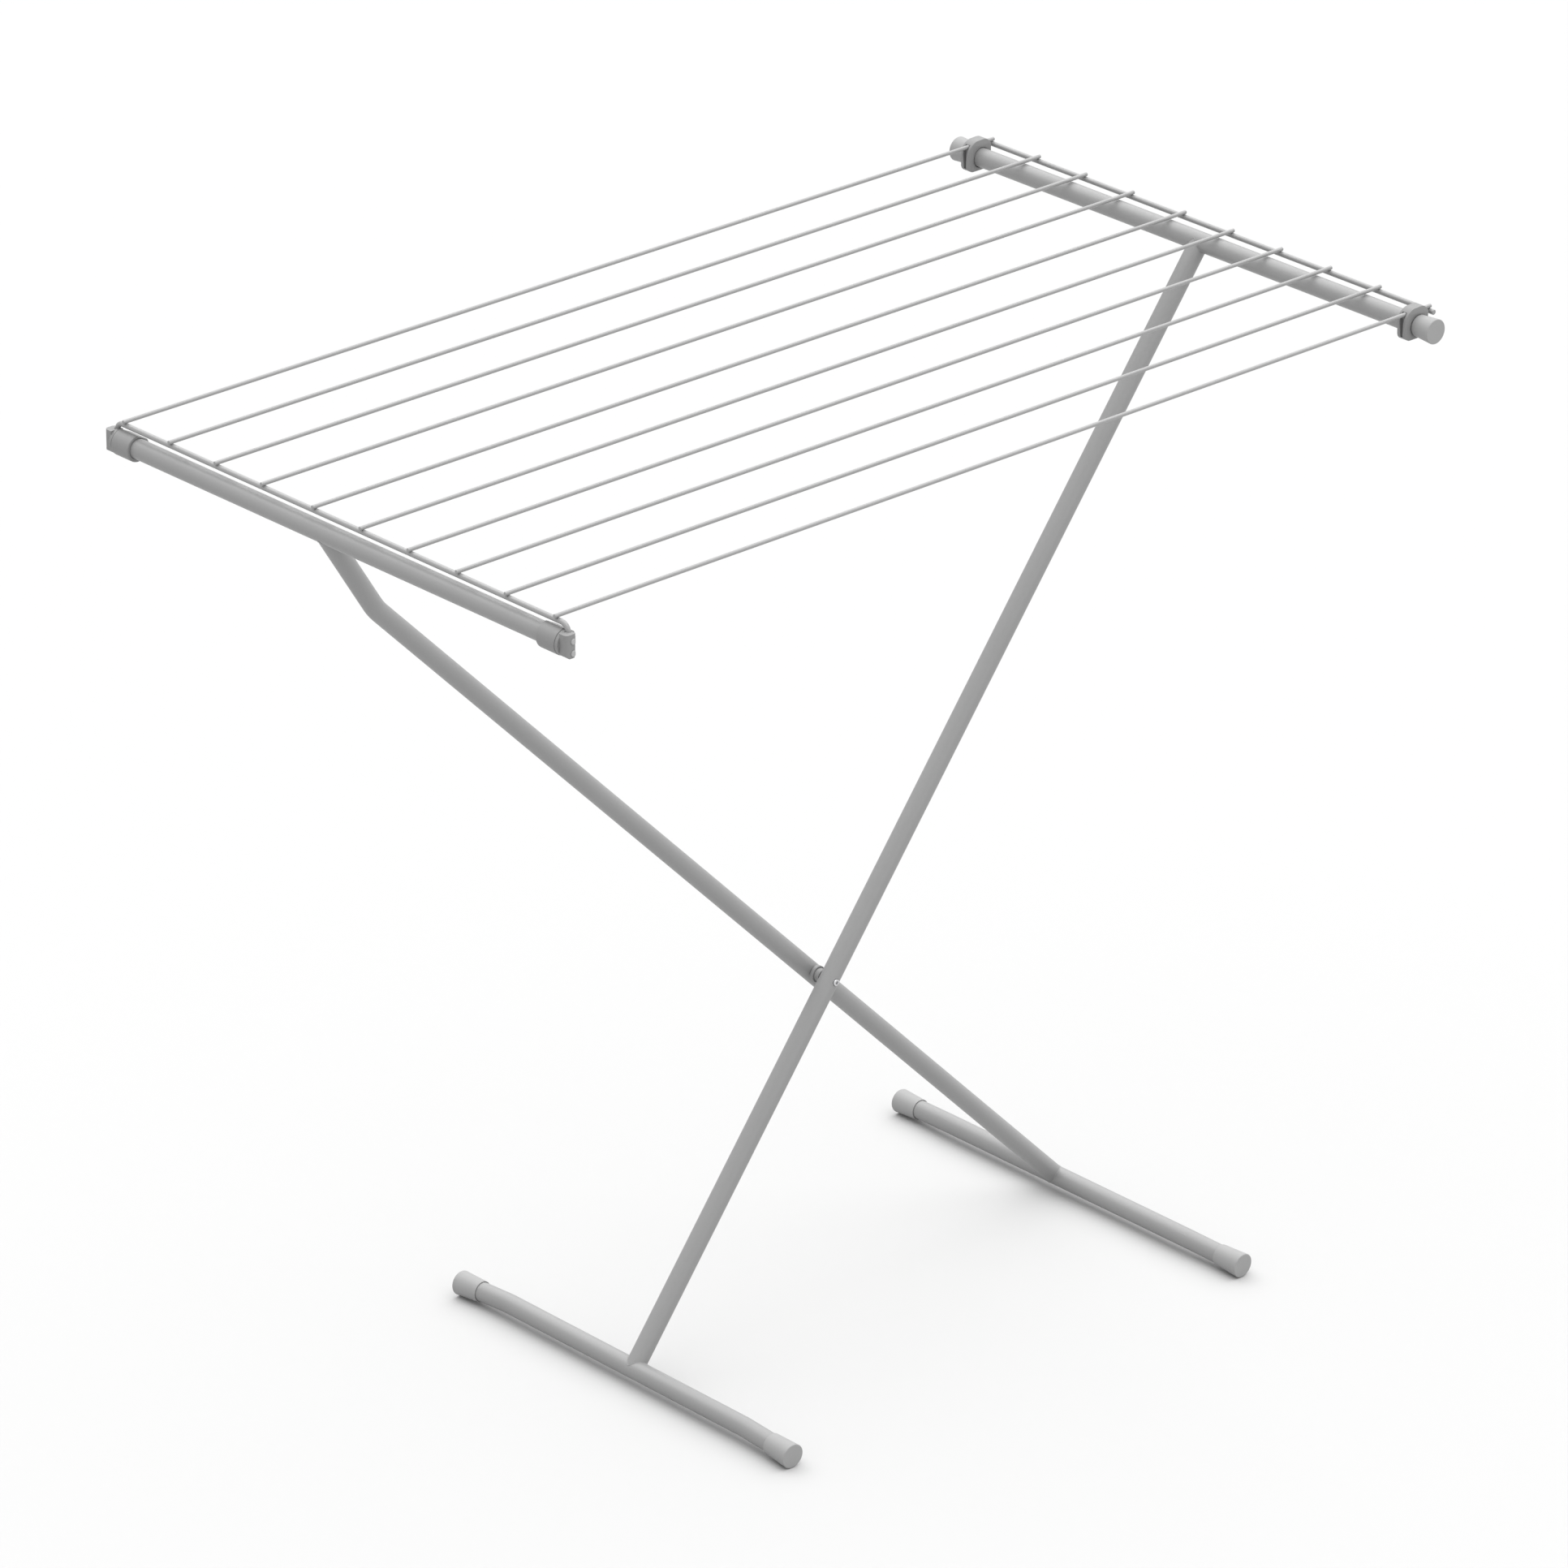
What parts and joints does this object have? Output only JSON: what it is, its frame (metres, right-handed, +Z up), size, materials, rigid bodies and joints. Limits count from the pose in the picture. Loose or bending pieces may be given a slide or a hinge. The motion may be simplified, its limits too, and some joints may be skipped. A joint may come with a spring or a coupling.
{
  "type": "clothes drying rack",
  "caption": "Folding floor-standing clothes drying rack: two crossing tube frames with T feet carry a hinged top of parallel wires that hooks onto the far bar.",
  "frame": {"origin": "centre of the footprint's bounding box, on the floor", "axes": "+X along the drying wires from the hinge bar to the hook bar, +Y along the bars, +Z up"},
  "size_m": [1.0842, 0.6354, 0.9782],
  "materials": {
    "tube": "satin grey powder coat",
    "wire": "satin grey powder coat",
    "cap": "moulded grey plastic",
    "moulding": "moulded grey plastic",
    "spacer": "moulded grey plastic",
    "fastener": "grey plated steel",
    "pin": "darker grey plastic"
  },
  "bodies": {
    "rear_frame": {"rear_post": "tube", "rear_foot": "tube", "hinge_bar": "tube", "rear_foot_cap_near": "cap", "rear_foot_cap_far": "cap", "rear_spacer": "spacer", "pivot_bolt": "fastener", "pivot_washer": "fastener", "pivot_nut": "fastener"},
    "front_frame": {"front_post": "tube", "front_foot": "tube", "hook_bar": "tube", "front_foot_cap_near": "cap", "front_foot_cap_far": "cap", "hook_bar_cap_near": "cap", "hook_bar_cap_far": "cap", "front_spacer": "spacer"},
    "grid": {"cross_wire_hinge": "wire", "cross_wire_hook": "wire", "wire_01": "wire", "wire_02": "wire", "wire_03": "wire", "wire_04": "wire", "wire_05": "wire", "wire_06": "wire", "wire_07": "wire", "wire_08": "wire", "wire_09": "wire", "wire_10": "wire", "hinge_sleeve_near": "moulding", "hinge_sleeve_far": "moulding", "sleeve_pins_near": "pin", "sleeve_pins_far": "pin", "hook_near": "moulding", "hook_far": "moulding"}
  },
  "joints": [
    {"name": "leg_fold", "type": "hinge", "parent": "rear_frame", "child": "front_frame", "pos_m": [0.05521, 0, 0.33985], "axis": [0, -1, 0], "range_deg": [0, 79]},
    {"name": "grid_hinge", "type": "hinge", "parent": "rear_frame", "child": "grid", "pos_m": [-0.52916, 0, 0.94735], "axis": [0, -1, 0], "range_deg": [0, 135.5]}
  ],
  "couplings": [
    {"joint": "grid_hinge", "follows": "leg_fold", "ratio": 1.715}
  ]
}
